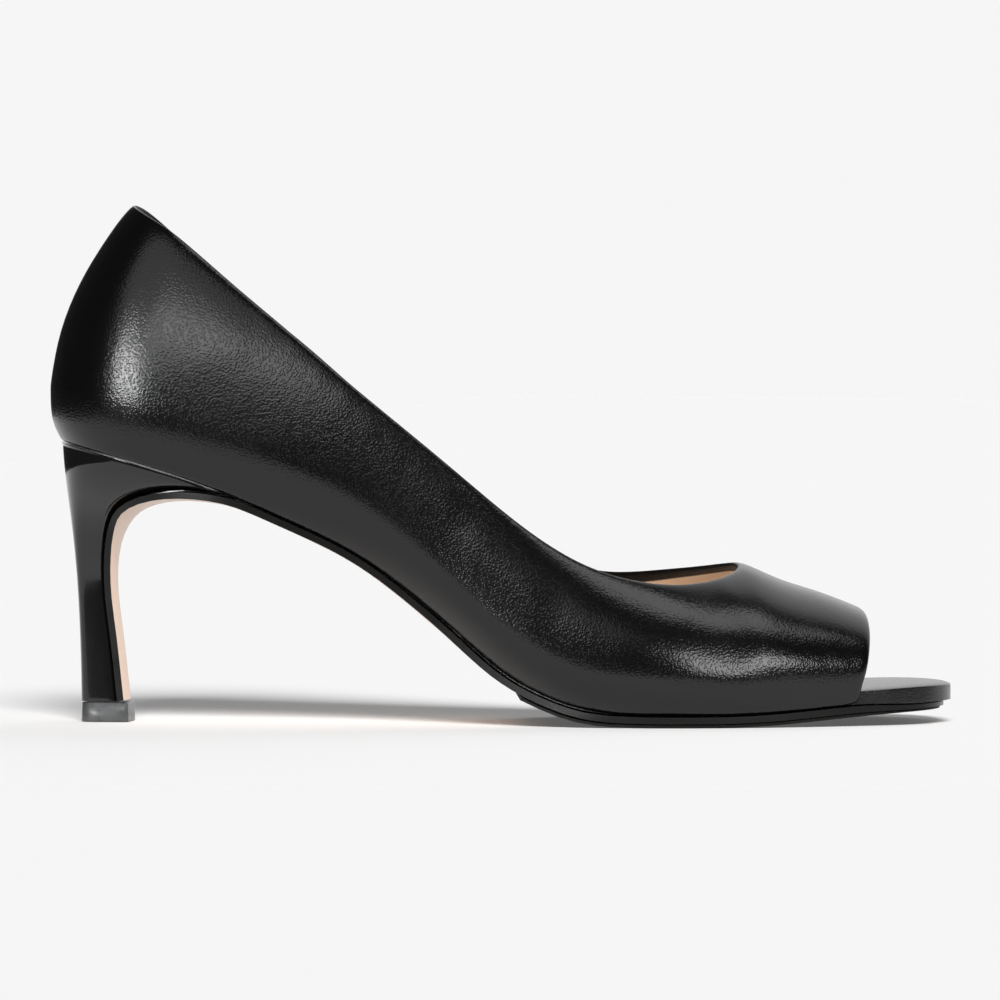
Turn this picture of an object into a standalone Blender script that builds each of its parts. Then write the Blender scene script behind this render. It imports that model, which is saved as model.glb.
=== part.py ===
"""A peep toe pump: one right shoe, toe towards +X, its outer side towards -Y, standing on z = 0.

The leather upper, the footbed, the sole, the rubber half-sole, the heel and its top-piece are separate
solids. All of them are worked out in a straight shoe first: x runs along the shoe from the back of the
counter, y across it and z up. The last step bends that shoe to the curved centre line of the last.
"""
import math

import bmesh
import bpy
from mathutils import Vector

# Driving sizes, in metres.
SHOE_LENGTH = 0.2314
BALL_WIDTH = 0.0765
HEEL_HEIGHT = 0.0726
COUNTER_HEIGHT = 0.0606
COLLAR_LEAN = 0.0210
THROAT_HEIGHT = 0.0412
TOE_OPENING_HEIGHT = 0.0297
TOE_SPRING = 0.0040
TOE_REACH = 0.0232
UPPER_WALL = 0.0018
SOLE_THICKNESS = 0.0017
SOLE_CROWN = 0.0010
SOLE_MARGIN = 0.0005
SOLE_SET_BACK = 0.0022
TREAD_THICKNESS = 0.0008
TREAD_INSET = 0.0010
TREAD_START = 0.1215
FOOTBED_THICKNESS = 0.0026
TOE_PAD_THICKNESS = 0.0037
SOLE_TOE_THINNING = 0.0006
TREAD_TOE_THINNING = 0.0004
TOP_PIECE_LENGTH = 0.0127
TOP_PIECE_WIDTH = 0.0120
TOP_PIECE_THICKNESS = 0.0051
HEEL_NECK_WIDTH = 0.0110
CLEARANCE = 0.0003

# The level of the upper's lower edge under the ball of the foot: what lies between it and the floor.
SOLE_STACK = TREAD_THICKNESS + SOLE_THICKNESS + 2 * CLEARANCE


def table(columns, *rows):
    """Return rows of numbers as records with the names of their columns."""
    return [dict(zip(columns.split(), row)) for row in rows]


# The last from heel to toe. "at" is a share of the shoe's length and "rise" a share of the heel's height
# over the ball. The rest are shares of the ball width: "axis" is how far the centre line lies towards the
# inner side, the soles and sides are half widths, "swell" is the height of the widest point over the edge.
LAST = table(
    "at rise axis sole_out sole_in side_out side_in swell",
    (0.000, 1.0125, 0.070, 0.333, 0.333, 0.377, 0.377, 0.205),
    (0.100, 0.9300, 0.033, 0.333, 0.333, 0.377, 0.377, 0.215),
    (0.190, 0.8290, 0.008, 0.326, 0.318, 0.379, 0.376, 0.235),
    (0.260, 0.7270, -0.010, 0.311, 0.289, 0.379, 0.373, 0.248),
    (0.345, 0.5860, -0.026, 0.296, 0.264, 0.385, 0.374, 0.245),
    (0.433, 0.3550, -0.034, 0.303, 0.270, 0.405, 0.392, 0.220),
    (0.515, 0.1120, -0.034, 0.358, 0.325, 0.453, 0.437, 0.185),
    (0.600, 0.0065, -0.022, 0.444, 0.418, 0.507, 0.492, 0.157),
    (0.690, 0.0000, 0.004, 0.494, 0.484, 0.530, 0.527, 0.144),
    (0.765, 0.0000, 0.032, 0.487, 0.500, 0.514, 0.526, 0.137),
    (0.840, 0.0000, 0.062, 0.455, 0.465, 0.471, 0.484, 0.130),
    (0.910, 0.0000, 0.091, 0.405, 0.405, 0.421, 0.424, 0.118),
    (1.000, 0.0000, 0.128, 0.340, 0.330, 0.350, 0.340, 0.105),
)

# The height of the last's crown over the upper's lower edge, a share of the throat's, and how square
# its arch is. Behind the throat the crown is only where the walls lean to.
CROWN = table(
    "at height square",
    (0.000, 2.10, 2.35),
    (0.110, 2.10, 2.35),
    (0.260, 2.02, 2.38),
    (0.390, 1.95, 2.38),
    (0.480, 1.72, 2.34),
    (0.560, 1.42, 2.28),
    (0.640, 1.17, 2.22),
    (0.700, 1.06, 2.16),
    (0.768, 1.00, 2.12),
)

# The ridge of the vamp ahead of the throat: shares of the way from the throat to the toe opening, and
# of the drop between them.
RIDGE = table(
    "way drop square",
    (0.00, 0.00, 2.12),
    (0.33, 0.385, 2.14),
    (0.66, 0.655, 2.18),
    (1.00, 1.00, 2.24),
    (1.30, 1.32, 2.28),
)

# The toe end of the sole curls up: a share of the length and of the toe spring.
SPRING = table(
    "at lift",
    (0.730, 0.00),
    (0.775, 0.12),
    (0.830, 0.40),
    (0.885, 0.68),
    (0.940, 0.87),
    (1.000, 1.00),
)

# The collar's edge over the floor, a share of the height of its back end.
COLLAR = table(
    "at outer inner",
    (0.090, 1.000, 1.000),
    (0.116, 0.975, 0.956),
    (0.140, 0.950, 0.918),
    (0.203, 0.860, 0.822),
    (0.269, 0.762, 0.732),
    (0.334, 0.661, 0.636),
    (0.400, 0.563, 0.541),
    (0.466, 0.465, 0.446),
    (0.532, 0.367, 0.354),
    (0.597, 0.299, 0.296),
    (0.652, 0.2750, 0.280),
    (0.710, 0.2690, 0.279),
    (0.770, 0.2690, 0.279),
)

# The front of the heel, where the sole runs down it: a share of the shoe's length, and of the height from
# the top-piece to the seat. "back" is the height of the same heel section at the heel's back, "half" its
# half width as a share of the way from the neck's to the seat's, "square" how square its back corners are.
BREAST = table(
    "up at back half square",
    (0.0000, 0.0765, 0.0000, 0.015, 3.6),
    (0.0920, 0.0735, 0.0920, 0.008, 3.6),
    (0.2440, 0.0690, 0.2440, 0.003, 3.5),
    (0.4000, 0.0622, 0.4060, 0.000, 3.3),
    (0.5135, 0.0615, 0.5300, 0.012, 3.1),
    (0.6057, 0.0640, 0.6490, 0.080, 2.8),
    (0.6815, 0.0705, 0.7410, 0.250, 2.6),
    (0.7426, 0.0815, 0.8170, 0.500, 2.4),
    (0.7860, 0.1060, 0.8810, 0.715, 2.3),
    (0.8070, 0.1380, 0.9345, 0.850, 2.25),
    (0.8050, 0.1720, 0.9700, 0.925, 2.2),
    (0.7890, 0.2060, 0.9880, 0.965, 2.2),
)

HEEL_BACK = table(
    "up at",
    (0.000, 0.0342),
    (0.141, 0.0336),
    (0.446, 0.0298),
    (0.690, 0.0232),
    (0.872, 0.0181),
    (1.000, 0.0137),
)

# How far the counter's bulge and the collar's round end reach, as shares of the shoe's length, and
# other shape numbers of the last.
HEEL_CENTRE = 0.118
COLLAR_CENTRE = 0.166
HEEL_ROUNDNESS = 2.10
SEAT_TUCK = 0.0125
COUNTER_BULGE = 0.215
BACK_CURVE = 1.97
BACK_TUCK_CURVE = 4.5
TUCK_CURVE = 2.3
TOE_SQUARENESS = 2.75
TOE_START = 0.885
THINNING_START = 0.865
THINNING_RUN = 0.085
THROAT_AT = 0.7640
THROAT_START_OUTER = 0.665
THROAT_START_INNER = 0.600
THROAT_SQUARENESS_OUTER = 2.35
THROAT_SQUARENESS_INNER = 2.1
OPENING_SET_BACK = 0.0263
OPENING_CURVE = 1.27
RIM_ROUNDING = 0.45
CROWN_RUN = 0.10
SHANK_START = 0.234
SOFTENING = 0.018
FLAT_SHARE = 0.0012
SHOULDER_SHARE = 0.45
VAMP_SPREAD = 0.80
LEVEL_ROWS = 3
EDGE_ROUNDNESS = 4.0
TOE_SPREAD = 0.85
TIP_SHARE = 0.35
BACK_SHARE = 0.30
MIN_HALF = 0.0005

# The footbed widens to the sole's edge ahead of the vamp, thickens into a rounded pad and thins at its tip.
BED_WIDEN_START = 0.006
BED_WIDEN_RUN = 0.030
BED_EDGE_INSET = 0.0004
PAD_START = 0.60
PAD_RUN = 0.22
PAD_ROUNDING = 0.11
PAD_DOME = 0.0004
TIP_THINNING = 0.62
TIP_SQUARENESS = 3.6

# The sole's margin grows ahead of the shank, and its bulge fades down the front of the heel.
MARGIN_START = 0.45
MARGIN_RUN = 0.15
FLAP_CROWN = 0.40

# The heel's sections are square at the front and round at the back. The top-piece's edges are broken.
HEEL_FRONT_SQUARE = 7.0
SEAT_SQUARE = 2.2
TIP_BACK_SQUARE = 3.6
TIP_FRONT_SQUARE = 16.0
TIP_BEVEL = 0.0003
TIP_TAPER = 0.0002

# How finely the pieces are divided.
COUNTER_STEPS = 11
SIDE_STEPS = 20
VAMP_STEPS = 9
WALL_STEPS = 12
SOLE_STEPS = 30
TOE_STEPS = 9
HEEL_ROUND_STEPS = 36
HEEL_END_STEPS = 7
TREAD_STEPS = 20
SETTLING_ROUNDS = 40
SLOPE_STEP = 0.002
SHARP_ANGLE = math.radians(40)

OUTER = -1
INNER = 1


def spline(rows, across, column, level_start=True):
    """Return a smooth curve through a table's column, level or free where it starts and free at its end."""
    xs = [row[across] for row in rows]
    ys = [row[column] for row in rows]
    count = len(xs)
    gaps = [xs[i + 1] - xs[i] for i in range(count - 1)]
    rises = [(ys[i + 1] - ys[i]) / gaps[i] for i in range(count - 1)]
    inner = range(1, count - 1)
    diagonal = [2 * gaps[0] if level_start else 1.0] + [2 * (gaps[i - 1] + gaps[i]) for i in inner] + [1.0]
    upper = [gaps[0] if level_start else 0.0] + gaps[1:] + [0.0]
    lower = [0.0] + gaps[:-1] + [0.0]
    wanted = [6 * rises[0] if level_start else 0.0] + [6 * (rises[i] - rises[i - 1]) for i in inner] + [0.0]
    for i in range(1, count):
        share = lower[i] / diagonal[i - 1]
        diagonal[i] -= share * upper[i - 1]
        wanted[i] -= share * wanted[i - 1]
    bends = [0.0] * count
    for i in reversed(range(count)):
        rest = upper[i] * bends[i + 1] if i + 1 < count else 0.0
        bends[i] = (wanted[i] - rest) / diagonal[i]

    def value(x):
        x = min(max(x, xs[0]), xs[-1])
        i = 0
        while i < count - 2 and x > xs[i + 1]:
            i += 1
        left, right, gap = x - xs[i], xs[i + 1] - x, gaps[i]
        cubic = (bends[i] * right ** 3 + bends[i + 1] * left ** 3) / (6 * gap)
        line = (ys[i] / gap - bends[i] * gap / 6) * right + (ys[i + 1] / gap - bends[i + 1] * gap / 6) * left
        return cubic + line

    return value


def gentle(rows, across, column):
    """Return a curve through a table's column that never swings past its values."""
    xs = [row[across] for row in rows]
    ys = [row[column] for row in rows]
    count = len(xs)
    rises = [(ys[i + 1] - ys[i]) / (xs[i + 1] - xs[i]) for i in range(count - 1)]
    slopes = [rises[0]]
    for before, after in zip(rises, rises[1:]):
        slopes.append(2 * before * after / (before + after) if before * after > 0 else 0.0)
    slopes.append(rises[-1])

    def value(x):
        x = min(max(x, xs[0]), xs[-1])
        i = 0
        while i < count - 2 and x > xs[i + 1]:
            i += 1
        gap = xs[i + 1] - xs[i]
        t = (x - xs[i]) / gap
        start = (1 + 2 * t) * (1 - t) ** 2 * ys[i] + t * (1 - t) ** 2 * gap * slopes[i]
        end = t * t * (3 - 2 * t) * ys[i + 1] + t * t * (t - 1) * gap * slopes[i + 1]
        return start + end

    return value


def softened(curve, reach):
    """Return a curve with its bends eased out over a reach to either side."""
    offsets = [reach * (i / 4 - 1) for i in range(9)]
    return lambda x: sum(curve(x + offset) for offset in offsets) / len(offsets)


AXIS = spline(LAST, "at", "axis", False)
RISE = softened(gentle(LAST, "at", "rise"), SOFTENING)
SWELL = spline(LAST, "at", "swell")
SOLE_HALF = {OUTER: spline(LAST, "at", "sole_out"), INNER: spline(LAST, "at", "sole_in")}
SIDE_HALF = {OUTER: spline(LAST, "at", "side_out"), INNER: spline(LAST, "at", "side_in")}
CROWN_HEIGHT = spline(CROWN, "at", "height")
CROWN_SQUARE = spline(CROWN, "at", "square")
RIDGE_DROP = softened(gentle(RIDGE, "way", "drop"), 4 * SOFTENING)
RIDGE_SQUARE = gentle(RIDGE, "way", "square")
SPRING_LIFT = softened(gentle(SPRING, "at", "lift"), SOFTENING)
COLLAR_HEIGHT = {OUTER: spline(COLLAR, "at", "outer", False), INNER: spline(COLLAR, "at", "inner", False)}
HEEL_BACK_AT = spline(HEEL_BACK, "up", "at")
OPENING_AT = 1 - TOE_REACH / SHOE_LENGTH
COLLAR_TOP = HEEL_HEIGHT + COUNTER_HEIGHT


def blend(start, end, share):
    return start + (end - start) * share


def eased(share):
    """Return a share held between 0 and 1 that starts and ends gently."""
    share = min(max(share, 0.0), 1.0)
    return share * share * (3 - 2 * share)


def cap(share, square):
    """Return how wide a rounded end still is at this share of its length, from 1 to 0."""
    return max(0.0, 1 - min(max(share, 0.0), 1.0) ** square) ** (1 / square)


def thinning(at):
    """Return how far the sole has thinned towards its tip, from 0 to 1."""
    return eased((at - THINNING_START) / THINNING_RUN)


def edge_level(at):
    """Return the level of the upper's lower edge, which is the top of sole and heel."""
    rise = max(RISE(at) - FLAT_SHARE, 0.0) * (HEEL_HEIGHT - SOLE_STACK)
    thinned = (SOLE_TOE_THINNING + TREAD_TOE_THINNING) * thinning(at)
    return SOLE_STACK + rise + TOE_SPRING * SPRING_LIFT(at) - thinned


def crown(at):
    """Return the level of the last's crown and how square the arch under it is."""
    if at <= CROWN[-1]["at"]:
        throat = THROAT_HEIGHT - edge_level(THROAT_AT)
        return edge_level(at) + throat * CROWN_HEIGHT(at), CROWN_SQUARE(at)
    way = (at - CROWN[-1]["at"]) / (OPENING_AT - CROWN[-1]["at"])
    start = THROAT_HEIGHT - edge_level(THROAT_AT) + edge_level(CROWN[-1]["at"])
    return blend(start, TOE_OPENING_HEIGHT, RIDGE_DROP(way)), RIDGE_SQUARE(way)


def swell_level(at):
    return edge_level(at) + SWELL(at) * BALL_WIDTH


def arch_point(at, turn, side):
    """Return the last's half width and level: turn -1 is the lower edge, 0 the widest, 1 the ridge."""
    low, wide = edge_level(at), swell_level(at)
    half = SIDE_HALF[side](at) * BALL_WIDTH
    if turn <= 0:
        tuck = (SIDE_HALF[side](at) - SOLE_HALF[side](at)) * BALL_WIDTH
        return half - tuck * (-turn) ** TUCK_CURVE, blend(wide, low, -turn)
    top, square = crown(at)
    angle = turn * math.pi / 2
    return half * math.cos(angle) ** (2 / square), wide + (top - wide) * math.sin(angle) ** (2 / square)


def turn_at(at, level):
    """Return the turn of the arch at a level over the widest point."""
    wide = swell_level(at)
    top, square = crown(at)
    share = min(max((level - wide) / (top - wide), 0.0), 1.0)
    return 2 / math.pi * math.asin(share ** (square / 2))


def half_width(at, level, side):
    """Return the last's half width at a level, for the rounded back."""
    wide = swell_level(at)
    half = SIDE_HALF[side](at) * BALL_WIDTH
    if level >= wide:
        top, square = crown(at)
        return half * cap((level - wide) / (top - wide), square)
    return half


def back_line(level):
    """Return the share of the length at which the counter's back lies at a level."""
    bulge = HEEL_HEIGHT + COUNTER_BULGE * COUNTER_HEIGHT
    share = max(level - bulge, 0.0) / (COLLAR_TOP - bulge)
    return COLLAR_LEAN / SHOE_LENGTH * share ** BACK_CURVE


def back_centre(level):
    share = (level - HEEL_HEIGHT) / COUNTER_HEIGHT
    return blend(HEEL_CENTRE, COLLAR_CENTRE, min(max(share, 0.0), 1.0))


def back_point(angle, level, side):
    """Return a point of the counter: angle 0 is its side, 90 degrees its back."""
    centre = back_centre(level)
    reach = centre - back_line(level)
    along = math.sin(angle) ** (2 / HEEL_ROUNDNESS)
    across = math.cos(angle) ** (2 / HEEL_ROUNDNESS)
    at = centre - reach * along
    low, wide = edge_level(at), swell_level(at)
    depth = min(max((wide - level) / (wide - low), 0.0), 1.0)
    tuck = (SIDE_HALF[side](at) - SOLE_HALF[side](at)) * BALL_WIDTH * depth ** TUCK_CURVE
    half = (half_width(at, level, side) - tuck) * across
    return (at + SEAT_TUCK * along * depth ** BACK_TUCK_CURVE) * SHOE_LENGTH, half * side, level


def back_column(angle, side, steps):
    """Return the counter's points from its lower edge to the collar."""
    low, top = HEEL_HEIGHT, COLLAR_TOP
    for _ in range(SETTLING_ROUNDS):
        low = edge_level(back_point(angle, low, side)[0] / SHOE_LENGTH)
        rim = COLLAR_HEIGHT[side](back_point(angle, top, side)[0] / SHOE_LENGTH) * COLLAR_TOP
        top = (top + rim) / 2
    at = back_point(angle, low, side)[0] / SHOE_LENGTH
    wide = swell_level(at)
    last_turn = turn_at(at, top)
    points = []
    for step in range(steps + 1):
        turn = blend(-1.0, last_turn, step / steps)
        if turn <= 0:
            level = blend(wide, low, -turn)
        else:
            crest, square = crown(at)
            level = wide + (crest - wide) * math.sin(turn * math.pi / 2) ** (2 / square)
        points.append(back_point(angle, level, side))
    return points


def collar_turn(at, side):
    """Return the arch turn of the collar's edge, which closes over the foot at the throat."""
    open_turn = turn_at(at, COLLAR_HEIGHT[side](at) * COLLAR_TOP)
    start = THROAT_START_OUTER if side == OUTER else THROAT_START_INNER
    square = THROAT_SQUARENESS_OUTER if side == OUTER else THROAT_SQUARENESS_INNER
    return 1 - (1 - open_turn) * cap((at - start) / (THROAT_AT - start), square)


def opening_at(turn):
    """Return where the toe opening's edge lies along the shoe: furthest forward on the ridge."""
    return OPENING_AT - OPENING_SET_BACK * math.sin(math.pi / 4 * (1 - turn)) ** OPENING_CURVE


def arch_column(edge, rim, side, steps):
    """Return points of the side wall between two (at, turn) places."""
    points = []
    for step in range(steps + 1):
        at = blend(edge[0], rim[0], step / steps)
        turn = blend(edge[1], rim[1], step / steps)
        half, level = arch_point(at, turn, side)
        points.append((at * SHOE_LENGTH, half * side, level))
    return points


def half_upper(side):
    """Return the columns of one side of the upper's outer face, from the back round to the throat."""
    columns = []
    for step in range(COUNTER_STEPS):
        angle = math.pi / 2 * (1 - step / COUNTER_STEPS)
        columns.append(back_column(angle, side, WALL_STEPS))
    start_edge = back_centre(edge_level(HEEL_CENTRE))
    start_rim = back_column(0.0, side, WALL_STEPS)[-1][0] / SHOE_LENGTH
    columns.append(back_column(0.0, side, WALL_STEPS))
    shoulder = blend(THROAT_AT, THROAT_START_OUTER, SHOULDER_SHARE)
    for step in range(1, SIDE_STEPS + 1):
        share = step / SIDE_STEPS
        edge_at = blend(start_edge, opening_at(-1.0), share)
        rim_at = blend(start_rim, shoulder, share)
        rim = rim_at, collar_turn(rim_at, side)
        columns.append(arch_column((edge_at, -1.0), rim, side, WALL_STEPS))
    for step in range(1, VAMP_STEPS + 1):
        share = step / VAMP_STEPS
        turn = blend(-1.0, 1.0, share)
        rim_at = blend(shoulder, THROAT_AT, math.sin(share * math.pi / 2) ** VAMP_SPREAD)
        rim = rim_at, collar_turn(rim_at, side)
        columns.append(arch_column((opening_at(turn), turn), rim, side, WALL_STEPS))
    return columns


def bend_plan(x, y):
    """Return the place of a straight shoe's point on the curved centre line of the last."""
    at = x / SHOE_LENGTH
    near = min(max(at, SLOPE_STEP), 1 - SLOPE_STEP)
    slope = (AXIS(near + SLOPE_STEP) - AXIS(near - SLOPE_STEP)) * BALL_WIDTH / (2 * SLOPE_STEP * SHOE_LENGTH)
    across = Vector((-slope, 1.0)).normalized()
    beyond = x - min(max(at, 0.0), 1.0) * SHOE_LENGTH
    centre = AXIS(at) * BALL_WIDTH + beyond * slope
    return x + across.x * y, centre + across.y * y


def bent(point):
    x, y = bend_plan(point[0], point[1])
    return Vector((x, y, point[2]))


def solid(name, points, faces, material):
    """Make one closed object from points of the straight shoe."""
    mesh = bpy.data.meshes.new(name)
    bm = bmesh.new()
    verts = [bm.verts.new(bent(point)) for point in points]
    for face in faces:
        bm.faces.new([verts[i] for i in face])
    bmesh.ops.recalc_face_normals(bm, faces=bm.faces)
    bm.to_mesh(mesh)
    bm.free()
    piece = bpy.data.objects.new(name, mesh)
    bpy.context.collection.objects.link(piece)
    mesh.materials.append(material)
    mesh.shade_smooth()
    mesh.set_sharp_from_angle(angle=SHARP_ANGLE)
    return piece


def loft(name, rings, material):
    """Make a solid from closed rings of as many points each, with flat ends."""
    count = len(rings[0])
    points = [point for ring in rings for point in ring]
    faces = []
    for i in range(len(rings) - 1):
        for j in range(count):
            k = (j + 1) % count
            faces.append((i * count + j, i * count + k, (i + 1) * count + k, (i + 1) * count + j))
    faces.append(tuple(range(count)))
    last = (len(rings) - 1) * count
    faces.append(tuple(last + j for j in range(count)))
    return solid(name, points, faces, material)


def leather(name, colour, roughness, coat=0.0):
    material = bpy.data.materials.new(name)
    material.use_nodes = True
    shader = material.node_tree.nodes["Principled BSDF"]
    shader.inputs["Base Color"].default_value = (*colour, 1.0)
    shader.inputs["Roughness"].default_value = roughness
    shader.inputs["Coat Weight"].default_value = coat
    return material


def wall_normals(columns):
    """Return the outward normals of a closed band of columns."""
    count, rows = len(columns), len(columns[0])
    normals = []
    for i in range(count):
        before, after = columns[i - 1], columns[(i + 1) % count]
        line = []
        for j in range(rows):
            along = Vector(after[j]) - Vector(before[j])
            up = Vector(columns[i][min(j + 1, rows - 1)]) - Vector(columns[i][max(j - 1, 0)])
            line.append(along.cross(up).normalized())
        normals.append(line)
    return normals


def make_upper(material):
    """Make the upper: the outer face, the same face set in by the wall, and rounded rims between them."""
    outer_side, inner_side = half_upper(OUTER), half_upper(INNER)
    columns = outer_side + inner_side[-2:0:-1]
    normals = wall_normals(columns)
    count, rows = len(columns), WALL_STEPS + 1
    first = VAMP_STEPS + COUNTER_STEPS + SIDE_STEPS
    inside = []
    for i in range(count):
        line = []
        steps_from_front = abs(i - first)
        for j in range(rows):
            normal = normals[i][j].copy()
            if j < LEVEL_ROWS and steps_from_front >= VAMP_STEPS:
                normal.z *= j / LEVEL_ROWS
                normal.normalize()
            line.append(Vector(columns[i][j]) - normal * UPPER_WALL)
        inside.append(line)
    points, faces = [], []
    ring_rows = 2 * rows + 2
    for i in range(count):
        outer_line = [Vector(point) for point in columns[i]]
        inner_line = inside[i]
        top_out = (outer_line[-1] - outer_line[-2]).normalized() * UPPER_WALL * RIM_ROUNDING
        top_mid = (outer_line[-1] + inner_line[-1]) / 2 + top_out
        low_mid = (outer_line[0] + inner_line[0]) / 2
        if abs(i - first) < VAMP_STEPS:
            low_mid += (outer_line[0] - outer_line[1]).normalized() * UPPER_WALL * RIM_ROUNDING
        points += outer_line + [top_mid] + inner_line[::-1] + [low_mid]
    for i in range(count):
        k = (i + 1) % count
        for j in range(ring_rows):
            m = (j + 1) % ring_rows
            faces.append((i * ring_rows + j, k * ring_rows + j, k * ring_rows + m, i * ring_rows + m))
    return solid("upper", [tuple(point) for point in points], faces, material)


def sole_outline(at, side, margin=0.0, tip=1.0):
    """Return the half width of the upper's lower edge, with a round back and a squarish toe."""
    half = SOLE_HALF[side](at) * BALL_WIDTH + margin
    if at < HEEL_CENTRE:
        half *= cap((HEEL_CENTRE - at) / (HEEL_CENTRE - SEAT_TUCK), HEEL_ROUNDNESS)
    if at > TOE_START:
        half *= cap((at - TOE_START) / (tip - TOE_START), TOE_SQUARENESS)
    return max(half, MIN_HALF)


def edge_normal(at):
    """Return the upward normal of the sole's profile, along and up."""
    rise = (edge_level(at + SLOPE_STEP) - edge_level(at - SLOPE_STEP)) / (2 * SLOPE_STEP * SHOE_LENGTH)
    return Vector((-rise, 1.0)).normalized()


def off_edge(at, height):
    """Return the place along and up that lies a height over the upper's lower edge."""
    normal = edge_normal(at)
    return at * SHOE_LENGTH + normal.x * height, edge_level(at) + normal.y * height


def slab_ring(place, halves, bottom, top, rounding=0.0, dome=0.0, sag=0.0, steps=8):
    """Return a flat piece's cross-section: its top from the outer to the inner side, its bottom back."""
    over, under = [], []
    for step in range(steps + 1):
        across = -math.cos(math.pi * step / steps)
        half = halves[OUTER] if across < 0 else halves[INNER]
        edge = abs(across)
        drop = rounding * (1 - cap(edge, EDGE_ROUNDNESS))
        x, z = place(top - drop + dome * (1 - edge * edge))
        over.append((x, half * across, z))
        x, z = place(bottom - sag * (1 - edge * edge))
        under.append((x, half * across, z))
    return over + under[::-1]


def stations(start, tip, steps):
    """Return shares of the length, evenly spaced and then closer together towards the round toe."""
    even = [blend(start, TOE_START, step / steps) for step in range(steps + 1)]
    quarter = math.pi / 2 / (TOE_STEPS + TIP_SHARE)
    spread = [math.sin(quarter * step) ** TOE_SPREAD for step in range(1, TOE_STEPS + 1)]
    return even + [blend(TOE_START, tip, share) for share in spread]


def footbed_half(at, side):
    """Return the footbed's half width: inside the upper, then as wide as the sole ahead of its opening."""
    share = eased((at - opening_at(-1.0) - BED_WIDEN_START) / BED_WIDEN_RUN)
    inset = blend(UPPER_WALL + CLEARANCE, BED_EDGE_INSET, share)
    if at < HEEL_CENTRE:
        back = SEAT_TUCK + inset / SHOE_LENGTH
        reach = cap((HEEL_CENTRE - at) / (HEEL_CENTRE - back), HEEL_ROUNDNESS)
        return max((SOLE_HALF[side](at) * BALL_WIDTH - inset) * reach, MIN_HALF)
    return max(sole_outline(at, side) - inset, MIN_HALF)


def make_footbed(material):
    """Make the footbed: a thin board that thickens to the padded front in the open toe."""
    rings = []
    back = SEAT_TUCK + (UPPER_WALL + CLEARANCE) / SHOE_LENGTH
    quarter = math.pi / 2 / (HEEL_END_STEPS + BACK_SHARE)
    heel_end = [1 - math.cos(quarter * (step + BACK_SHARE)) for step in range(HEEL_END_STEPS)]
    heel_end = [blend(back, HEEL_CENTRE, share) for share in heel_end]
    for at in heel_end + stations(HEEL_CENTRE, 1.0, SOLE_STEPS):
        pad = eased((at - PAD_START) / PAD_RUN)
        halves = {side: footbed_half(at, side) for side in (OUTER, INNER)}
        tip = cap((at - TOE_START) / (1 - TOE_START), TIP_SQUARENESS)
        thick = blend(FOOTBED_THICKNESS, TOE_PAD_THICKNESS, pad)
        thick += (SOLE_TOE_THINNING + TREAD_TOE_THINNING) * thinning(at)
        top = thick * blend(TIP_THINNING, 1.0, tip)
        place = lambda height, at=at: off_edge(at, height)
        rings.append(slab_ring(place, halves, 0.0, top, PAD_ROUNDING * top * pad, PAD_DOME * pad))
    return loft("footbed", rings, material)


def sole_crown(at):
    """Return how far the sole's underside bulges below its edges: in the shank, not under the ball."""
    return SOLE_CROWN * min(max((TREAD_START / SHOE_LENGTH - at) / CROWN_RUN, 0.0), 1.0)


def heel_level(up):
    """Return the level at a share of the heel's height over its top-piece."""
    return blend(TOP_PIECE_THICKNESS + CLEARANCE, HEEL_HEIGHT, up)


def breast_place(row, height):
    """Return the place along and up at a height over the heel's breast line, at a row of its table."""
    index = BREAST.index(row)
    before, after = BREAST[max(index - 1, 0)], BREAST[min(index + 1, len(BREAST) - 1)]
    ahead = (after["at"] - before["at"]) * SHOE_LENGTH
    normal = Vector((heel_level(before["up"]) - heel_level(after["up"]), ahead)).normalized()
    return row["at"] * SHOE_LENGTH + normal.x * height, heel_level(row["up"]) + normal.y * height


def heel_half(row):
    seat = SOLE_HALF[OUTER](HEEL_CENTRE) * BALL_WIDTH
    return blend(HEEL_NECK_WIDTH / 2, seat, row["half"])


def make_outsole(material):
    """Make the sole: a thin sheet from the toe, under the shank and down the front of the heel."""
    rings = []
    tip = 1 - SOLE_SET_BACK / SHOE_LENGTH
    for at in reversed(stations(SHANK_START, tip, SOLE_STEPS)):
        bottom = SOLE_TOE_THINNING * thinning(at) - CLEARANCE - SOLE_THICKNESS
        margin = SOLE_MARGIN * min(max((at - MARGIN_START) / MARGIN_RUN, 0.0), 1.0)
        halves = {side: sole_outline(at, side, margin, tip) for side in (OUTER, INNER)}
        place = lambda height, at=at: off_edge(at, height)
        rings.append(slab_ring(place, halves, bottom, -CLEARANCE, sag=sole_crown(at)))
    for row in reversed(BREAST):
        half = heel_half(row)
        halves = {OUTER: half, INNER: half}
        sag = SOLE_CROWN * blend(FLAP_CROWN, 1.0, row["half"])
        place = lambda height, row=row: breast_place(row, height)
        rings.append(slab_ring(place, halves, -SOLE_THICKNESS, 0.0, sag=sag))
    return loft("outsole", rings, material)


def make_forepart_sole(material):
    """Make the thin rubber half-sole, set in from the sole's edge, flat under the ball."""
    rings = []
    tip = 1 - (SOLE_SET_BACK + TREAD_INSET) / SHOE_LENGTH
    for at in stations(TREAD_START / SHOE_LENGTH, tip, TREAD_STEPS):
        halves = {side: sole_outline(at, side, -TREAD_INSET, tip) for side in (OUTER, INNER)}
        place = lambda height, at=at: off_edge(at, height)
        top = SOLE_TOE_THINNING * thinning(at) - SOLE_THICKNESS - 2 * CLEARANCE
        bottom = top - TREAD_THICKNESS + TREAD_TOE_THINNING * thinning(at)
        rings.append(slab_ring(place, halves, bottom, top))
    return loft("forepart_sole", rings, material)


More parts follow.
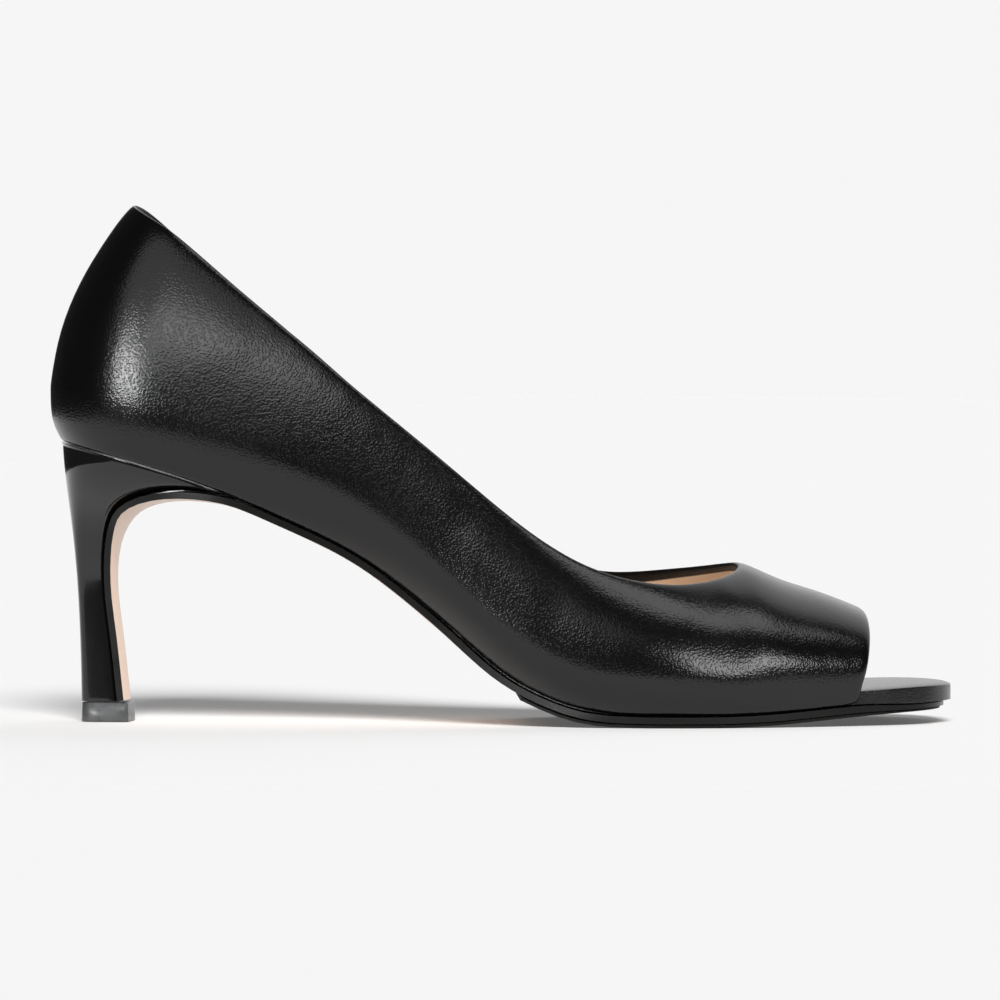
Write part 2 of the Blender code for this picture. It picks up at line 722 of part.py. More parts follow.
def rounded_section(back, front, half, back_square, front_square):
    """Return a heel section in the plane through its back and front lines, rounded at its corners."""
    ring = []
    for step in range(HEEL_ROUND_STEPS):
        angle = 2 * math.pi * (step + 0.5) / HEEL_ROUND_STEPS
        along, across = -math.cos(angle), math.sin(angle)
        square = back_square if along < 0 else front_square
        share = 0.5 + 0.5 * math.copysign(abs(along) ** (2 / square), along)
        width = math.copysign(abs(across) ** (2 / square), across)
        ring.append((blend(back[0], front[0], share), half * width, blend(back[1], front[1], share)))
    return ring


def make_heel(material):
    """Make the heel: sections that tilt from the flat top-piece to the sloping seat."""
    rings = []
    for row in BREAST:
        back = HEEL_BACK_AT(row["back"]) * SHOE_LENGTH, heel_level(row["back"])
        front = breast_place(row, CLEARANCE)
        rings.append(rounded_section(back, front, heel_half(row), row["square"], HEEL_FRONT_SQUARE))
    back, front = (SEAT_TUCK * SHOE_LENGTH, 0.0), (BREAST[-1]["at"] * SHOE_LENGTH, 0.0)
    seat = rounded_section(back, front, heel_half(BREAST[-1]), SEAT_SQUARE, HEEL_FRONT_SQUARE)
    rings.append([(x, y, edge_level(x / SHOE_LENGTH) - CLEARANCE) for x, y, _ in seat])
    return loft("heel", rings, material)


def make_top_piece(material):
    """Make the tip under the heel, with a flat face on the floor."""
    back = HEEL_BACK_AT(0.0) * SHOE_LENGTH
    rings = []
    levels = 0.0, TIP_BEVEL, TOP_PIECE_THICKNESS - TIP_BEVEL, TOP_PIECE_THICKNESS
    insets = TIP_BEVEL, 0.0, TIP_TAPER, 2 * TIP_TAPER
    for level, inset in zip(levels, insets):
        start, stop = (back + inset, level), (back + TOP_PIECE_LENGTH - inset, level)
        half = TOP_PIECE_WIDTH / 2 - inset
        rings.append(rounded_section(start, stop, half, TIP_BACK_SQUARE, TIP_FRONT_SQUARE))
    return loft("top_piece", rings, material)


def main():
    for old in list(bpy.data.objects):
        bpy.data.objects.remove(old, do_unlink=True)
    pieces = [
        make_upper(leather("black_upper_leather", (0.012, 0.012, 0.012), 0.38)),
        make_footbed(leather("black_footbed_leather", (0.014, 0.014, 0.014), 0.40)),
        make_outsole(leather("tan_sole_leather", (0.66, 0.50, 0.36), 0.45)),
        make_forepart_sole(leather("dark_rubber", (0.02, 0.02, 0.02), 0.6)),
        make_heel(leather("black_heel_gloss", (0.008, 0.008, 0.008), 0.15, 1.0)),
        make_top_piece(leather("grey_tip_plastic", (0.12, 0.12, 0.12), 0.35)),
    ]
    corners = [piece.matrix_world @ vertex.co for piece in pieces for vertex in piece.data.vertices]
    middle = [(min(c[i] for c in corners) + max(c[i] for c in corners)) / 2 for i in range(2)]
    stand = bpy.data.objects.new("peep_toe_pump", None)
    bpy.context.collection.objects.link(stand)
    for piece in pieces:
        piece.parent = stand
    stand.location = (-middle[0], -middle[1], 0.0)


main()
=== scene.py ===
"""The looks of a black leather peep toe pump, built around its fixed frame of solids."""
import math

import bpy
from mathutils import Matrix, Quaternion, Vector
from mathutils.kdtree import KDTree


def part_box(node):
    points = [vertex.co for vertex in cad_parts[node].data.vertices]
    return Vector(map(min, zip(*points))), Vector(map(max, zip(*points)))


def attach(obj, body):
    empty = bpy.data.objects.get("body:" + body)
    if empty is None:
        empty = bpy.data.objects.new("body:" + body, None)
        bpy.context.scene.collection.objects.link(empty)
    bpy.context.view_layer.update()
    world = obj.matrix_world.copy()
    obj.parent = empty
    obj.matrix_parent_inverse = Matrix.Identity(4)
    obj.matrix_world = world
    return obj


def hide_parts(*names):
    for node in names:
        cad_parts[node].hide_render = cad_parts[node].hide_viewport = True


# Lengths are in metres, in the frame of the solids: x to the toe, y to the inner side, z up.

# Points of a solid that are closer than this are one point.
MERGE_DISTANCE = 0.000002

# The angles past which an edge is hard, and how wide each piece's hard edges are broken.
SHARP_ANGLE = math.radians(38)
HEEL_SHARP_ANGLE = math.radians(50)
PAD_BEVEL = 0.0007
SOLE_BEVEL = 0.0007
HEEL_BEVEL = 0.00035
TREAD_BEVEL = 0.0002
TIP_BEVEL = 0.00006
BEVEL_SEGMENTS = 2

# How often each curved piece is subdivided.
UPPER_ROUNDING = 2
PAD_ROUNDING = 2
SOLE_ROUNDING = 1
HEEL_ROUNDING = 1

# Inside and outside of the upper's wall are told apart by the middle of each cross-section: how long
# a section is, how high its middle lies, how much its height counts, and how far ahead of the upper's
# back the rearmost middle lies.
SECTION_STEP = 0.004
MIDDLE_SHARE = 0.35
HEIGHT_SHARE = 0.3
COUNTER_DEPTH = 0.032

# A face that looks down more than this slope, this close over the lower edge, is no lining.
UNDER_EDGE_SLOPE = -0.5
UNDER_EDGE_REACH = 0.003

# The black facing turned in over the topline, and how softly it ends.
FACING_BAND = 0.0036
BAND_BLUR = 0.0003

# The stretch over the lower edge that has no topline, and isn't smoothed.
LOWER_EDGE_REACH = 0.006

# The round of the heel is smoothed into the sides around a line this far ahead of the upper's back.
HEEL_SIDE_MIDDLE = 0.02415
HEEL_SIDE_REACH = 0.022
HEEL_SIDE_RISE = 2.0
HEEL_SIDE_FACTOR = 0.5
HEEL_SIDE_PASSES = 30

# Soft folds of the upper's outer side: two ends, half width and depth. Each end is how far it lies
# behind the upper's front edge, across and up.
FOLDS = [
    ((0.06922, -0.034, 0.0330), (0.03822, -0.040, 0.0190), 0.0075, 0.00045),
    ((0.04622, -0.034, 0.0340), (0.00822, -0.033, 0.0230), 0.0060, 0.00030),
    ((0.09922, -0.030, 0.0500), (0.07122, -0.038, 0.0250), 0.0080, 0.00025),
]
LEAST_PUSH = 0.00001

# The footbed's black wrap: its length from the front end, and the slope that still counts as its top.
WRAP_LENGTH = 0.034
SIDE_SLOPE = 0.4

# The sole's underside stays tan unless it turns up more than this slope, and down the front of the
# heel it stays tan all over, from this far ahead of the heel.
TURNED_UP_SLOPE = 0.1
FLAP_MARGIN = 0.0069

# The mould notch in the top-piece, and its middle from the middle of the front face's lower edge.
NOTCH_SIZE = (0.0012, 0.0009, 0.0019)
NOTCH_PLACE = Vector((-0.0001, -0.0018, 0.0014))

# The usual lowest and highest value of a cloudy mask.
MASK_LOW = 0.3
MASK_HIGH = 0.7

# The camera looks level across the shoe from its outer side, from low down and with a long lens.
CAMERA_AWAY = 1.80
CAMERA_HEIGHT = 0.085
CAMERA_TILT = math.radians(0.886)
CAMERA_ASIDE = -0.00026
CAMERA_LENS = 251.42
SENSOR_WIDTH = 36.0
NEAREST_SEEN = 0.05
FARTHEST_SEEN = 1000.0

# The floor's edges, and its own faint light.
FLOOR_LEFT = -0.60
FLOOR_RIGHT = 6.0
FLOOR_FRONT = -0.30
FLOOR_BACK = 400.0
FLOOR_GLOW = 0.10

# The backdrop's brightness, the studio's where it is dark, and where the one turns into the other:
# from the camera's side to the far side, and from the heel's side to the toe's.
BACKDROP = 0.92
STUDIO_DIM = 0.03
FAR_SIDE_START = 0.0
FAR_SIDE_STOP = 0.5
TOE_SIDE_START = -0.25
TOE_SIDE_STOP = 0.02

# The broad light from the front.
MAIN_LIGHT = 4.2
MAIN_LIGHT_SPREAD = math.radians(22)
MAIN_LIGHT_TILT = math.radians(52)
MAIN_LIGHT_TURN = math.radians(4)

# The soft boxes: name, target, azimuth, elevation, roll, distance, width, height and radiance.
# The angles are in degrees. Azimuth 0 is towards the camera and grows to the toe's side.
SOFT_BOXES = [
    ("counter_box", (-0.095, -0.03, 0.089), -36.0, 7.6, -15.0, 1.50, 0.80, 0.10, 37.0),
    ("quarter_box", (-0.060, -0.03, 0.080), -13.0, 15.5, 0.0, 0.55, 0.22, 0.11, 4.4),
    ("high_box", (-0.060, -0.03, 0.080), -28.0, 31.0, 0.0, 1.50, 1.70, 0.95, 0.85),
    ("forepart_box", (0.060, -0.04, 0.018), 29.0, 17.0, 0.0, 1.50, 0.66, 0.36, 8.0),
    ("ridge_box", (0.050, 0.00, 0.040), 45.0, 62.0, 0.0, 1.50, 0.90, 0.68, 2.2),
]

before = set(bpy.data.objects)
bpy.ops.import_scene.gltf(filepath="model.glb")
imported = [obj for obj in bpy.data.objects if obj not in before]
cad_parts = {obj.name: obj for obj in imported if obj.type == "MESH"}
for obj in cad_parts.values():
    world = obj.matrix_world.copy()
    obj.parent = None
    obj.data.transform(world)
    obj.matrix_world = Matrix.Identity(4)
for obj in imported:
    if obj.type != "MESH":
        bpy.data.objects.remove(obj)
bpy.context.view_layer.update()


def select_only(piece):
    """Make a piece the only selected object, and the active one."""
    bpy.ops.object.select_all(action="DESELECT")
    bpy.context.view_layer.objects.active = piece
    piece.select_set(True)


def apply_modifiers(piece):
    """Apply every modifier of a piece, in its order."""
    select_only(piece)
    for modifier in list(piece.modifiers):
        bpy.ops.object.modifier_apply(modifier=modifier.name)


def merged_copy(node, name):
    """Return a copy of a solid with its loose triangles joined into a mesh of quads."""
    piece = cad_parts[node].copy()
    piece.data = piece.data.copy()
    piece.name = name
    piece.data.name = name
    piece.parent = None
    piece.data.materials.clear()
    for key in list(piece.keys()):
        del piece[key]
    bpy.context.scene.collection.objects.link(piece)
    select_only(piece)
    bpy.ops.object.mode_set(mode="EDIT")
    bpy.ops.mesh.select_all(action="SELECT")
    bpy.ops.mesh.customdata_custom_splitnormals_clear()
    bpy.ops.mesh.remove_doubles(threshold=MERGE_DISTANCE)
    bpy.ops.mesh.tris_convert_to_quads(
        face_threshold=math.pi, shape_threshold=math.pi, topology_influence=2.0)
    bpy.ops.object.mode_set(mode="OBJECT")
    return piece


def bevelled(piece, width, angle):
    """Break a piece's hard edges."""
    bevel = piece.modifiers.new("broken_edges", "BEVEL")
    bevel.width = width
    bevel.segments = BEVEL_SEGMENTS
    bevel.limit_method = "ANGLE"
    bevel.angle_limit = angle
    bevel.use_clamp_overlap = True


def subdivided(piece, levels):
    """Round a piece by subdivision."""
    surface = piece.modifiers.new("rounding", "SUBSURF")
    surface.levels = levels
    surface.render_levels = levels


def finished(piece, node):
    """Shade a piece smooth and let it stand for its solid."""
    for polygon in piece.data.polygons:
        polygon.use_smooth = True
    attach(piece, "root")
    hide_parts(node)
    return piece


def link(tree, start, output, end, target):
    """Join a node's output to another node's input."""
    tree.links.new(start.outputs[output], end.inputs[target])


def new_material(name, roughness, coat=0.0, coat_roughness=0.1, specular=0.5):
    """Return a material, its node tree and its Principled shader with the constant values set."""
    material = bpy.data.materials.new(name)
    material.use_nodes = True
    tree = material.node_tree
    shader = tree.nodes["Principled BSDF"]
    shader.inputs["Roughness"].default_value = roughness
    shader.inputs["Coat Weight"].default_value = coat
    shader.inputs["Coat Roughness"].default_value = coat_roughness
    shader.inputs["Specular IOR Level"].default_value = specular
    return material, tree, shader


def new_group(name, inputs, outputs):
    """Return an empty shader group with named float inputs and outputs, and its two end nodes."""
    group = bpy.data.node_groups.new(name, "ShaderNodeTree")
    for label, value in inputs.items():
        socket = group.interface.new_socket(label, in_out="INPUT", socket_type="NodeSocketFloat")
        socket.default_value = value
    for label in outputs:
        group.interface.new_socket(label, in_out="OUTPUT", socket_type="NodeSocketFloat")
    return group, group.nodes.new("NodeGroupInput"), group.nodes.new("NodeGroupOutput")


def clouds(tree, place, scale, detail):
    """Return a cloudy mask over the piece, with that many clouds to the metre."""
    node = tree.nodes.new("ShaderNodeTexNoise")
    node.inputs["Scale"].default_value = scale
    node.inputs["Detail"].default_value = detail
    link(tree, place, "Object", node, "Vector")
    return node


def vector_math(tree, operation):
    """Return a node that reckons with vectors."""
    node = tree.nodes.new("ShaderNodeVectorMath")
    node.operation = operation
    return node


def leather_grain_group():
    """Fine pebbled grain: rounded cells, each a little higher or lower, and soft broad waves.

    Cells and Waves are numbers to the metre, and Creep is the width of the cells' drift.
    """
    defaults = {"Cells": 1300.0, "Waves": 38.0, "Creep": 0.00022}
    group, given, result = new_group("leather_grain", defaults, ["Height", "Shine"])
    place = group.nodes.new("ShaderNodeTexCoord")
    drift = clouds(group, place, scale=900.0, detail=1.0)
    centred = vector_math(group, "SUBTRACT")
    centred.inputs[1].default_value = (0.5, 0.5, 0.5)
    link(group, drift, "Color", centred, 0)
    shifted = vector_math(group, "SCALE")
    link(group, centred, "Vector", shifted, 0)
    link(group, given, "Creep", shifted, "Scale")
    moved = vector_math(group, "ADD")
    link(group, place, "Object", moved, 0)
    link(group, shifted, "Vector", moved, 1)
    cells = group.nodes.new("ShaderNodeTexVoronoi")
    cells.feature = "SMOOTH_F1"
    cells.inputs["Smoothness"].default_value = 0.55
    link(group, moved, "Vector", cells, "Vector")
    link(group, given, "Cells", cells, "Scale")
    domed = group.nodes.new("ShaderNodeMapRange")
    domed.interpolation_type = "SMOOTHSTEP"
    domed.inputs["From Min"].default_value = 0.65
    domed.inputs["From Max"].default_value = 0.10
    link(group, cells, "Distance", domed, "Value")
    patches = clouds(group, place, scale=420.0, detail=3.0)
    height = group.nodes.new("ShaderNodeMath")
    height.operation = "ADD"
    link(group, domed, "Result", height, 0)
    link(group, patches, "Fac", height, 1)
    link(group, height, "Value", result, "Height")
    waves = clouds(group, place, scale=defaults["Waves"], detail=2.0)
    link(group, given, "Waves", waves, "Scale")
    link(group, waves, "Fac", result, "Shine")
    return group


def add_group(tree, group, **values):
    """Place a shader group in a material, with its own values."""
    node = tree.nodes.new("ShaderNodeGroup")
    node.node_tree = group
    for label, value in values.items():
        node.inputs[label].default_value = value
    return node


def spread(tree, source, output, low, high, start=MASK_LOW, stop=MASK_HIGH):
    """Return a node that maps a mask to values between low and high."""
    node = tree.nodes.new("ShaderNodeMapRange")
    node.inputs["From Min"].default_value = start
    node.inputs["From Max"].default_value = stop
    node.inputs["To Min"].default_value = low
    node.inputs["To Max"].default_value = high
    link(tree, source, output, node, "Value")
    return node


def bumped(tree, source, output, shader, distance, strength):
    """Raise a mask as bump under the shader's gloss."""
    node = tree.nodes.new("ShaderNodeBump")
    node.inputs["Distance"].default_value = distance
    node.inputs["Strength"].default_value = strength
    link(tree, source, output, node, "Height")
    link(tree, node, "Normal", shader, "Normal")


def tinted(tree, source, output, dark, light):
    """Return the colour that lies between two colours by a mask."""
    node = tree.nodes.new("ShaderNodeMix")
    node.data_type = "RGBA"
    node.inputs["A"].default_value = (*dark, 1.0)
    node.inputs["B"].default_value = (*light, 1.0)
    link(tree, source, output, node, "Factor")
    return mixed_colour(node)


def mixed_colour(node):
    """Return the colour socket of a mix node."""
    return next(socket for socket in node.outputs if socket.type == "RGBA")


def grained_material(
        name, grain, cells, waves, dark, light, roughness, relief, strength, gloss=None, **finish):
    """Return a material with the leather's grain, its colour between dark and light.

    Cells and waves are numbers to the metre, relief is the grain's height, and gloss is the
    roughness where the waves are low and where they are high.
    """
    material, tree, shader = new_material(name, roughness, **finish)
    skin = add_group(tree, grain, Cells=cells, Waves=waves)
    tree.links.new(tinted(tree, skin, "Shine", dark, light), shader.inputs["Base Color"])
    if gloss:
        link(tree, spread(tree, skin, "Shine", *gloss), "Result", shader, "Roughness")
    bumped(tree, skin, "Height", shader, relief, strength)
    return material


def upper_leather(grain):
    """Smooth black leather with a fine pebbled grain and a soft shine."""
    return grained_material(
        "upper_leather", grain, cells=1750.0, waves=38.0,
        dark=(0.0010, 0.0010, 0.0010), light=(0.0018, 0.0018, 0.0018),
        roughness=0.22, gloss=(0.21, 0.17), relief=0.00006, strength=0.38)


def lining_leather(grain):
    """Tan lining leather, with a black facing turned in over the topline."""
    material, tree, shader = new_material("lining_leather", roughness=0.5)
    skin = add_group(tree, grain, Cells=1500.0, Waves=60.0)
    tan = tinted(tree, skin, "Shine", dark=(0.78, 0.62, 0.48), light=(0.84, 0.69, 0.56))
    away = tree.nodes.new("ShaderNodeAttribute")
    away.attribute_name = "rim_distance"
    band = spread(tree, away, "Fac", 0.0, 1.0, FACING_BAND - BAND_BLUR, FACING_BAND + BAND_BLUR)
    colour = tree.nodes.new("ShaderNodeMix")
    colour.data_type = "RGBA"
    colour.inputs["A"].default_value = (0.0015, 0.0015, 0.0015, 1.0)
    link(tree, band, "Result", colour, "Factor")
    tree.links.new(tan, colour.inputs["B"])
    tree.links.new(mixed_colour(colour), shader.inputs["Base Color"])
    sheen = spread(tree, band, "Result", low=0.12, high=0.5, start=0.0, stop=1.0)
    link(tree, sheen, "Result", shader, "Specular IOR Level")
    bumped(tree, skin, "Height", shader, distance=0.00005, strength=0.4)
    return material


def toe_pad_leather(grain):
    """Black leather that wraps the front of the footbed."""
    return grained_material(
        "toe_pad_leather", grain, cells=2100.0, waves=38.0,
        dark=(0.0014, 0.0014, 0.0014), light=(0.0026, 0.0026, 0.0026),
        roughness=0.22, relief=0.00005, strength=0.4)


def sock_leather(grain):
    """Tan sock leather on the footbed."""
    return grained_material(
        "sock_leather", grain, cells=1400.0, waves=50.0,
        dark=(0.66, 0.48, 0.34), light=(0.73, 0.55, 0.41),
        roughness=0.52, relief=0.00005, strength=0.35)


def sole_leather(grain):
    """Pale tan, sealed sole leather."""
    return grained_material(
        "sole_leather", grain, cells=900.0, waves=45.0,
        dark=(0.69, 0.50, 0.38), light=(0.76, 0.58, 0.46),
        roughness=0.38, relief=0.00002, strength=0.25, coat=0.2, coat_roughness=0.25)


def edge_paint(grain):
    """Black paint on the sole's edge: glossy, with faint strokes."""
    return grained_material(
        "edge_paint", grain, cells=600.0, waves=150.0,
        dark=(0.0030, 0.0030, 0.0030), light=(0.0055, 0.0052, 0.0050),
        roughness=0.3, gloss=(0.34, 0.24), relief=0.00002, strength=0.25, specular=0.25)


def heel_gloss(grain):
    """Polished black leather drawn tight over the heel."""
    return grained_material(
        "heel_gloss", grain, cells=900.0, waves=90.0,
        dark=(0.0028, 0.0028, 0.0028), light=(0.0046, 0.0044, 0.0044),
        roughness=0.10, gloss=(0.13, 0.08), relief=0.00001, strength=0.10,
        coat=0.25, coat_roughness=0.04)


def tread_rubber():
    """Dark rubber with fine ribs across its walking face."""
    material, tree, shader = new_material("tread_rubber", roughness=0.55, specular=0.2)
    place = tree.nodes.new("ShaderNodeTexCoord")
    ribs = tree.nodes.new("ShaderNodeTexWave")
    ribs.wave_type = "BANDS"
    ribs.bands_direction = "DIAGONAL"
    ribs.wave_profile = "SIN"
    ribs.inputs["Scale"].default_value = 190.0
    ribs.inputs["Distortion"].default_value = 0.0
    link(tree, place, "Object", ribs, "Vector")
    dust = clouds(tree, place, scale=260.0, detail=2.0)
    colour = tinted(tree, dust, "Fac", dark=(0.005, 0.005, 0.005), light=(0.010, 0.010, 0.010))
    tree.links.new(colour, shader.inputs["Base Color"])
    bumped(tree, ribs, "Fac", shader, distance=0.00012, strength=0.5)
    return material


def tip_plastic():
    """Smoky grey plastic of the top-piece, finely scuffed."""
    material, tree, shader = new_material("tip_plastic", roughness=0.3, coat=0.2, coat_roughness=0.15)
    place = tree.nodes.new("ShaderNodeTexCoord")
    scuffs = clouds(tree, place, scale=420.0, detail=4.0)
    colour = tinted(tree, scuffs, "Fac", dark=(0.026, 0.027, 0.028), light=(0.060, 0.062, 0.063))
    tree.links.new(colour, shader.inputs["Base Color"])
    link(tree, spread(tree, scuffs, "Fac", low=0.24, high=0.42), "Result", shader, "Roughness")
    bumped(tree, scuffs, "Fac", shader, distance=0.00003, strength=0.35)
    return material


def section_middles(piece):
    """Return each cross-section's middle, as across and up, and its lowest level, by its step."""
    columns = {}
    for vertex in piece.data.vertices:
        columns.setdefault(round(vertex.co.x / SECTION_STEP), []).append(vertex.co)
    middles = {}
    for key, places in columns.items():
        across = [place.y for place in places]
        up = [place.z for place in places]
        height = min(up) + MIDDLE_SHARE * (max(up) - min(up))
        middles[key] = ((min(across) + max(across)) / 2, height, min(up))
    return middles


def faces_inside(piece, back_end):
    """Return whether each face of the hollow upper looks in, towards the middle of its section."""
    middles = section_middles(piece)
    looks_in = []
    for polygon in piece.data.polygons:
        along = max(polygon.center.x, back_end)
        key = min(middles, key=lambda known: abs(known - along / SECTION_STEP))
        across, up, lowest = middles[key]
        outwards = polygon.center - Vector((along, across, up))
        outwards.z *= HEIGHT_SHARE
        towards_middle = polygon.normal.dot(outwards) < 0
        near_edge = polygon.center.z < lowest + UNDER_EDGE_REACH
        under_edge = near_edge and polygon.normal.z < UNDER_EDGE_SLOPE
        looks_in.append(towards_middle and not under_edge)
    return looks_in


def heights_over_edge(piece):
    """Return how far every point lies over the lower edge at its place along the shoe."""
    lowest = {}
    for vertex in piece.data.vertices:
        key = round(vertex.co.x, 3)
        lowest[key] = min(lowest.get(key, vertex.co.z), vertex.co.z)
    return [vertex.co.z - lowest[round(vertex.co.x, 3)] for vertex in piece.data.vertices]


def mark_rim_distance(piece):
    """Store how far every point lies from the topline, where outside and lining meet."""
    uses = {}
    for polygon in piece.data.polygons:
        for index in polygon.vertices:
            uses.setdefault(index, set()).add(polygon.material_index)
    heights = heights_over_edge(piece)
    meeting = [index for index, found in uses.items() if len(found) > 1]
    rim = [index for index in meeting if heights[index] > LOWER_EDGE_REACH]
    tree = KDTree(len(rim))
    for count, index in enumerate(rim):
        tree.insert(piece.data.vertices[index].co, count)
    tree.balance()
    distances = [tree.find(vertex.co)[2] for vertex in piece.data.vertices]
    attribute = piece.data.attributes.new("rim_distance", "FLOAT", "POINT")
    attribute.data.foreach_set("value", distances)


def even_heel_side(piece, middle):
    """Smooth the leather where the round of the heel meets the sides, clear of both edges."""
    distances = [item.value for item in piece.data.attributes["rim_distance"].data]
    heights = heights_over_edge(piece)
    group = piece.vertex_groups.new(name="heel_side")
    for vertex, distance, height in zip(piece.data.vertices, distances, heights):
        along = 1.0 - abs(vertex.co.x - middle) / HEEL_SIDE_REACH
        clear = min(distance, height) / LOWER_EDGE_REACH - 1.0
        weight = min(along * HEEL_SIDE_RISE, clear, 1.0)
        if weight > 0.0:
            group.add([vertex.index], weight, "REPLACE")
    smooth = piece.modifiers.new("even_heel_side", "SMOOTH")
    smooth.vertex_group = group.name
    smooth.factor = HEEL_SIDE_FACTOR
    smooth.iterations = HEEL_SIDE_PASSES
    apply_modifiers(piece)


def press_folds(piece, front_edge):
    """Press soft troughs into the leather where it bends at the outer side of the ball."""
    mesh = piece.data
    folds = []
    for *ends, half, depth in FOLDS:
        start, end = (Vector((front_edge - behind, across, up)) for behind, across, up in ends)
        folds.append((start, end - start, half, depth))
    outer = [vertex for vertex in mesh.vertices if vertex.normal.y < 0]
    pushes = []
    for vertex in outer:
        push = 0.0
        for start, run, half, depth in folds:
            share = (vertex.co - start).dot(run) / run.length_squared
            nearest = start + run * min(max(share, 0.0), 1.0)
            gap = (vertex.co - nearest).length / half
            push += depth * math.exp(-gap * gap)
        pushes.append(push)
    for vertex, push in zip(outer, pushes):
        if push > LEAST_PUSH:
            vertex.co.y += push


def make_upper(grain):
    """The upper: black leather outside, tan lining inside, one wall between."""
    piece = merged_copy("upper", "upper_shell")
    piece.data.materials.append(upper_leather(grain))
    piece.data.materials.append(lining_leather(grain))
    low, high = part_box("upper")
    for polygon, looks_in in zip(piece.data.polygons, faces_inside(piece, low.x + COUNTER_DEPTH)):
        polygon.material_index = 1 if looks_in else 0
    subdivided(piece, UPPER_ROUNDING)
    apply_modifiers(piece)
    mark_rim_distance(piece)
    even_heel_side(piece, low.x + HEEL_SIDE_MIDDLE)
    press_folds(piece, high.x)
    return finished(piece, "upper")


def make_footbed(grain):
    """The footbed: tan sock leather, wrapped in black leather where it shows at the open toe."""
    piece = merged_copy("footbed", "footbed_pad")
    piece.data.materials.append(sock_leather(grain))
    piece.data.materials.append(toe_pad_leather(grain))
    wrap_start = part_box("footbed")[1].x - WRAP_LENGTH
    for polygon in piece.data.polygons:
        hidden = polygon.normal.z < SIDE_SLOPE
        polygon.material_index = 1 if hidden or polygon.center.x > wrap_start else 0
    bevelled(piece, PAD_BEVEL, SHARP_ANGLE)
    subdivided(piece, PAD_ROUNDING)
    apply_modifiers(piece)
    finished(piece, "footbed")
    return piece


def smooth_regions(piece):
    """Return lists of faces that hang together without a sharp edge, largest area first."""
    faces_at = {}
    for polygon in piece.data.polygons:
        for key in polygon.edge_keys:
            faces_at.setdefault(key, []).append(polygon)
    waiting = {polygon.index for polygon in piece.data.polygons}
    regions = []
    while waiting:
        todo = [piece.data.polygons[waiting.pop()]]
        region = []
        while todo:
            polygon = todo.pop()
            region.append(polygon)
            for key in polygon.edge_keys:
                for other in faces_at[key]:
                    if other.index in waiting and polygon.normal.angle(other.normal) < SHARP_ANGLE:
                        waiting.remove(other.index)
                        todo.append(other)
        regions.append(region)
    return sorted(regions, key=lambda region: -sum(polygon.area for polygon in region))


def mean_height(region):
    """Return the mean height of a region of faces."""
    area = sum(polygon.area for polygon in region)
    return sum(polygon.center.z * polygon.area for polygon in region) / area


def make_outsole(grain):
    """The sole: tan underneath and down the front of the heel, with a black painted edge."""
    piece = merged_copy("outsole", "outsole_leather")
    piece.data.materials.append(sole_leather(grain))
    piece.data.materials.append(edge_paint(grain))
    for polygon in piece.data.polygons:
        polygon.material_index = 1
    flap_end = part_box("heel")[1].x + FLAP_MARGIN
    underside = min(smooth_regions(piece)[:2], key=mean_height)
    for polygon in underside:
        tan = polygon.normal.z < TURNED_UP_SLOPE or polygon.center.x < flap_end
        polygon.material_index = 0 if tan else 1
    bevelled(piece, SOLE_BEVEL, SHARP_ANGLE)
    subdivided(piece, SOLE_ROUNDING)
    apply_modifiers(piece)
    return finished(piece, "outsole")


def make_tread():
    """The rubber half-sole under the forepart."""
    piece = merged_copy("forepart_sole", "tread_rubber")
    piece.data.materials.append(tread_rubber())
    bevelled(piece, TREAD_BEVEL, SHARP_ANGLE)
    apply_modifiers(piece)
    return finished(piece, "forepart_sole")


def make_heel(grain):
    """The covered heel, glossy black."""
    piece = merged_copy("heel", "heel_cover")
    piece.data.materials.append(heel_gloss(grain))
    bevelled(piece, HEEL_BEVEL, HEEL_SHARP_ANGLE)
    subdivided(piece, HEEL_ROUNDING)
    apply_modifiers(piece)
    return finished(piece, "heel")


def make_tip():
    """The top-piece, with the small mould notch in its front face."""
    piece = merged_copy("top_piece", "heel_tip")
    piece.data.materials.append(tip_plastic())
    low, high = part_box("top_piece")
    front_edge = Vector((high.x, (low.y + high.y) / 2, low.z))
    bpy.ops.object.select_all(action="DESELECT")
    bpy.ops.mesh.primitive_cube_add(size=1.0, location=front_edge + NOTCH_PLACE)
    notch = bpy.context.active_object
    notch.dimensions = NOTCH_SIZE
    bpy.ops.object.transform_apply(location=False, rotation=False, scale=True)
    cut = piece.modifiers.new("notch", "BOOLEAN")
    cut.object = notch
    cut.solver = "EXACT"
    apply_modifiers(piece)
    bpy.data.objects.remove(notch, do_unlink=True)
    bevelled(piece, TIP_BEVEL, SHARP_ANGLE)
    apply_modifiers(piece)
    return finished(piece, "top_piece")


def make_floor():
    """A plain pale floor, out to the horizon."""
    bpy.ops.object.select_all(action="DESELECT")
    bpy.ops.mesh.primitive_plane_add(size=1.0, location=(0.0, 0.0, 0.0))
    floor = bpy.context.active_object
    floor.name = "floor"
    floor.dimensions = (FLOOR_RIGHT - FLOOR_LEFT, FLOOR_BACK - FLOOR_FRONT, 0.0)
    floor.location = ((FLOOR_RIGHT + FLOOR_LEFT) / 2, (FLOOR_BACK + FLOOR_FRONT) / 2, 0.0)
    material, _, shader = new_material("pale_floor", roughness=0.9, specular=0.0)
    shader.inputs["Base Color"].default_value = (0.80, 0.80, 0.80, 1.0)
    shader.inputs["Emission Color"].default_value = (1.0, 1.0, 1.0, 1.0)
    shader.inputs["Emission Strength"].default_value = FLOOR_GLOW
    floor.data.materials.append(material)


